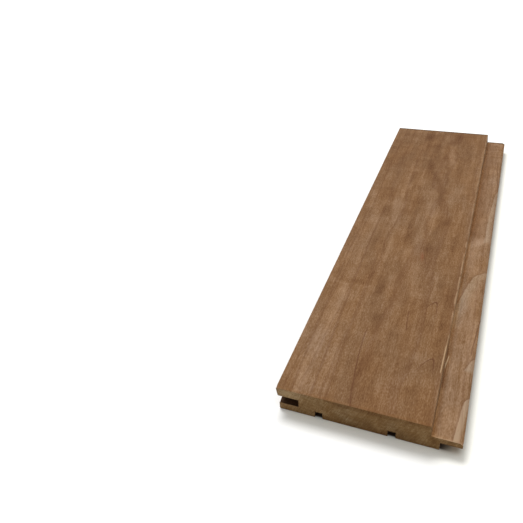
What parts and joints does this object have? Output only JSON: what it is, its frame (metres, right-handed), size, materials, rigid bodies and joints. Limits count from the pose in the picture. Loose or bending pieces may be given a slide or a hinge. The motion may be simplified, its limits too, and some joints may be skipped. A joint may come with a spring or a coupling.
{
  "type": "tongue and groove board",
  "caption": "Planed wooden cladding board with a tongue along one edge, a groove along the other, an open shadow gap and relief kerfs in the back.",
  "frame": {"origin": "under the middle of the board, at the level of its back, halfway between the groove-side face edge and the tip of the tongue", "axes": "+Y along the length, +Z out of the face, +X towards the tongue"},
  "size_m": [0.09, 0.32, 0.015],
  "materials": {
    "wood": "planed, unvarnished, warm brown heat-treated hardwood"
  },
  "bodies": {
    "root": {"board": "wood"}
  },
  "joints": []
}
